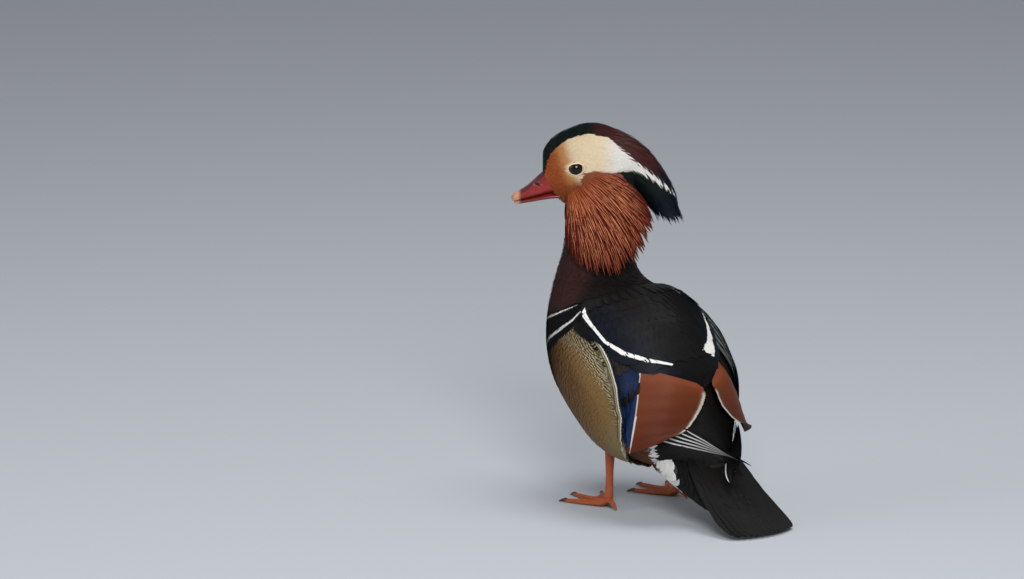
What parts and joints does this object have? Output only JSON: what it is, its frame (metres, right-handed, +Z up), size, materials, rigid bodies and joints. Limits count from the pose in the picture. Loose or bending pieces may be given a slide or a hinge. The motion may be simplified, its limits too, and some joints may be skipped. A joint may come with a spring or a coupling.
{
  "type": "mandarin duck",
  "caption": "Life-size drake mandarin duck, standing with its head turned left, upright sail feathers and its tail resting on the floor.",
  "frame": {"origin": "centre of the bottom of the bounding box, on the floor that the feet and the tail rest on", "axes": "+Z up, the body faces -Y, +X to the bird's left; the head is turned to the bird's left"},
  "size_m": [0.1208, 0.232, 0.2726],
  "materials": {
    "flank_feathers": "golden-buff feathers with fine dark bars",
    "neck_feathers": "maroon-brown feathers with a soft sheen",
    "head_feathers": "chestnut and cream feathers with a dark glossy crest",
    "wing_feathers": "blue-black and olive feathers, orange sails",
    "tail_feathers": "brown-black feathers",
    "bill": "smooth red horn, satin, with a pale pink nail",
    "eye": "wet dark brown",
    "leg_skin": "orange scaly skin, satin"
  },
  "bodies": {
    "root": {"torso": "flank_feathers", "neck": "neck_feathers", "head": "head_feathers", "bill_upper": "bill", "bill_lower": "bill", "eye_left": "eye", "eye_right": "eye", "wing_left": "wing_feathers", "wing_right": "wing_feathers", "tail": "tail_feathers", "leg_left": "leg_skin", "leg_right": "leg_skin", "foot_left": "leg_skin", "foot_right": "leg_skin"}
  },
  "joints": []
}
